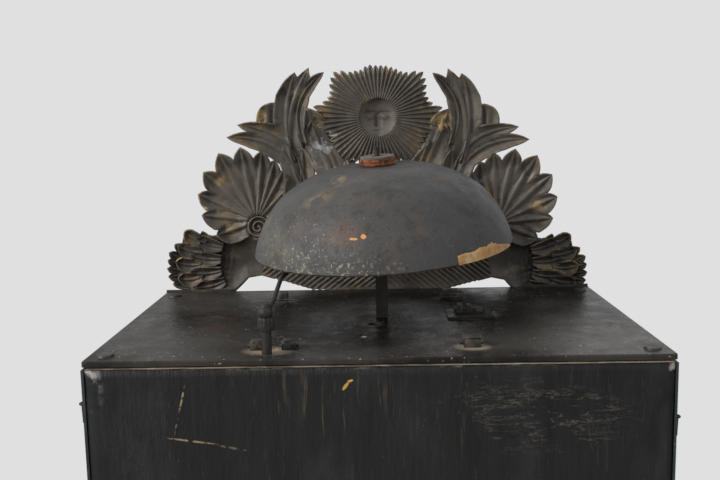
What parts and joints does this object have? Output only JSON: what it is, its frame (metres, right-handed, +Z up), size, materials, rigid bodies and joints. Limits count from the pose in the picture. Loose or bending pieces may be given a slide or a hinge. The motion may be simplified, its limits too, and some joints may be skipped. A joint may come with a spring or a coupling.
{
  "type": "comtoise clock",
  "caption": "Weight-driven wall clock in an iron cage with hinged side doors, an enamel dial, a bell with its hammer and a pressed brass pediment.",
  "frame": {"origin": "centre of the base plate's underside", "axes": "+Z up; the dial faces -Y; left and right are as seen from the dial, so right is +X"},
  "size_m": [0.2572, 0.1694, 0.3996],
  "materials": {
    "cage_iron": "worn, dark",
    "door_iron": "worn dark paint",
    "board_paint": "black paint",
    "bright_steel": "satin",
    "rusted_wire": "dull",
    "train_brass": "satin",
    "old_brass": "dull, darkened",
    "bell_metal": "dull, dark",
    "bell_leather": "fuzzy",
    "enamel": "gloss enamel"
  },
  "bodies": {
    "cage": {"bottom_plate": "cage_iron", "top_plate": "cage_iron", "corner_posts": "cage_iron", "front_sheet": "door_iron", "rear_board": "board_paint", "door_pins": "bright_steel", "dial_surround": "old_brass", "dial": "enamel", "bezel": "old_brass", "case_screws": "rusted_wire", "strike_rear_bar": "cage_iron", "strike_front_bar": "cage_iron", "going_rear_bar": "cage_iron", "going_front_bar": "cage_iron", "going_middle_bar": "cage_iron", "middle_bar_strap": "cage_iron", "bar_wedges": "rusted_wire", "suspension_cock": "cage_iron", "motion_bridge": "cage_iron", "rack_guide": "cage_iron", "bell_post": "cage_iron", "bell_post_nut": "cage_iron", "bell": "bell_metal", "bell_washer": "bell_leather", "bell_washer_plate": "rusted_wire", "hammer_cock": "cage_iron", "pediment": "old_brass"},
    "left_door": {"door_left": "door_iron", "staple_left": "rusted_wire"},
    "left_hook": {"hook_left": "rusted_wire"},
    "right_door": {"door_right": "door_iron", "staple_right": "rusted_wire"},
    "right_hook": {"hook_right": "rusted_wire"},
    "going_great": {"going_great_wheel": "train_brass", "going_click": "bright_steel"},
    "going_drum": {"going_barrel": "train_brass"},
    "centre": {"centre_wheel": "train_brass", "transfer_wheel": "train_brass"},
    "third": {"third_wheel": "train_brass"},
    "escape": {"escape_wheel": "train_brass"},
    "escapement_anchor": {"anchor": "bright_steel", "crutch": "bright_steel"},
    "minute": {"minute_wheel": "train_brass", "minute_hand": "old_brass", "hand_nut": "bright_steel"},
    "motion": {"motion_wheel": "train_brass"},
    "hour": {"hour_wheel": "train_brass", "hour_hand": "old_brass"},
    "strike_great": {"strike_great_wheel": "train_brass", "strike_click": "bright_steel"},
    "strike_drum": {"strike_barrel": "train_brass"},
    "pin": {"pin_wheel": "train_brass"},
    "locking": {"locking_wheel": "train_brass"},
    "strike_fly": {"fly": "bright_steel"},
    "hammer": {"hammer_arbor": "rusted_wire", "hammer_collar": "rusted_wire", "hammer_rod": "rusted_wire", "hammer_head": "rusted_wire"},
    "strike_rack": {"rack": "bright_steel"},
    "lever": {"lifting_lever": "bright_steel"}
  },
  "joints": [
    {"name": "left_door_hinge", "type": "hinge", "parent": "cage", "child": "left_door", "pos_m": [-0.1222, -0.071, 0], "axis": [0, 0, 1], "range_deg": [0, 95]},
    {"name": "right_door_hinge", "type": "hinge", "parent": "cage", "child": "right_door", "pos_m": [0.1222, -0.071, 0], "axis": [0, 0, -1], "range_deg": [0, 95]},
    {"name": "left_hook_swing", "type": "hinge", "parent": "left_door", "child": "left_hook", "pos_m": [-0.12645, 0.068, 0.236], "axis": [0, 0, -1], "range_deg": [-80, 30]},
    {"name": "right_hook_swing", "type": "hinge", "parent": "right_door", "child": "right_hook", "pos_m": [0.12645, 0.068, 0.245], "axis": [0, 0, 1], "range_deg": [-80, 30]},
    {"name": "going_great_turn", "type": "hinge", "parent": "cage", "child": "going_great", "pos_m": [-0.044, -0.0345, 0.086], "axis": [0, 1, 0], "continuous": true},
    {"name": "going_drum_wind", "type": "hinge", "parent": "going_great", "child": "going_drum", "pos_m": [-0.044, 0, 0.086], "axis": [0, 1, 0], "continuous": true},
    {"name": "centre_turn", "type": "hinge", "parent": "cage", "child": "centre", "pos_m": [-0.044, -0.03, 0.128], "axis": [0, 1, 0], "continuous": true},
    {"name": "third_turn", "type": "hinge", "parent": "cage", "child": "third", "pos_m": [-0.044, -0.02, 0.15905], "axis": [0, 1, 0], "continuous": true},
    {"name": "escape_turn", "type": "hinge", "parent": "cage", "child": "escape", "pos_m": [-0.044, -0.02, 0.18455], "axis": [0, 1, 0], "continuous": true},
    {"name": "anchor_swing", "type": "hinge", "parent": "cage", "child": "escapement_anchor", "pos_m": [-0.044, -0.03, 0.20855], "axis": [0, 1, 0], "range_deg": [-2.5, 2.5]},
    {"name": "minute_turn", "type": "hinge", "parent": "cage", "child": "minute", "pos_m": [0, -0.06, 0.128], "axis": [0, 1, 0], "continuous": true},
    {"name": "motion_turn", "type": "hinge", "parent": "cage", "child": "motion", "pos_m": [0.024, -0.06, 0.138], "axis": [0, 1, 0], "continuous": true},
    {"name": "hour_turn", "type": "hinge", "parent": "cage", "child": "hour", "pos_m": [0, -0.066, 0.128], "axis": [0, 1, 0], "continuous": true},
    {"name": "strike_great_turn", "type": "hinge", "parent": "cage", "child": "strike_great", "pos_m": [0.044, -0.0345, 0.086], "axis": [0, 1, 0], "continuous": true},
    {"name": "strike_drum_wind", "type": "hinge", "parent": "strike_great", "child": "strike_drum", "pos_m": [0.044, 0, 0.086], "axis": [0, 1, 0], "continuous": true},
    {"name": "pin_turn", "type": "hinge", "parent": "cage", "child": "pin", "pos_m": [0.044, 0, 0.128], "axis": [0, 1, 0], "continuous": true},
    {"name": "locking_turn", "type": "hinge", "parent": "cage", "child": "locking", "pos_m": [0.044, 0, 0.15905], "axis": [0, 1, 0], "continuous": true},
    {"name": "fly_turn", "type": "hinge", "parent": "cage", "child": "strike_fly", "pos_m": [0.044, 0, 0.18425], "axis": [0, 1, 0], "continuous": true},
    {"name": "hammer_swing", "type": "hinge", "parent": "cage", "child": "hammer", "pos_m": [0.0474, 0.065, 0.129], "axis": [0, 0, 1], "range_deg": [-12, 1.2]},
    {"name": "rack_drop", "type": "slide", "parent": "cage", "child": "strike_rack", "axis": [0, 0, -1], "range_m": [0, 0.012]},
    {"name": "lever_lift", "type": "hinge", "parent": "cage", "child": "lever", "pos_m": [0.048, -0.0508, 0.17], "axis": [0, 1, 0], "range_deg": [0, 8]}
  ],
  "couplings": [
    {"joint": "centre_turn", "follows": "third_turn", "ratio": -0.125},
    {"joint": "going_great_turn", "follows": "third_turn", "ratio": 0.015625},
    {"joint": "escape_turn", "follows": "third_turn", "ratio": -7.5},
    {"joint": "minute_turn", "follows": "third_turn", "ratio": 0.125},
    {"joint": "motion_turn", "follows": "third_turn", "ratio": -0.041667},
    {"joint": "hour_turn", "follows": "third_turn", "ratio": 0.010417},
    {"joint": "pin_turn", "follows": "locking_turn", "ratio": -0.125},
    {"joint": "strike_great_turn", "follows": "locking_turn", "ratio": 0.015625},
    {"joint": "fly_turn", "follows": "locking_turn", "ratio": -7}
  ]
}
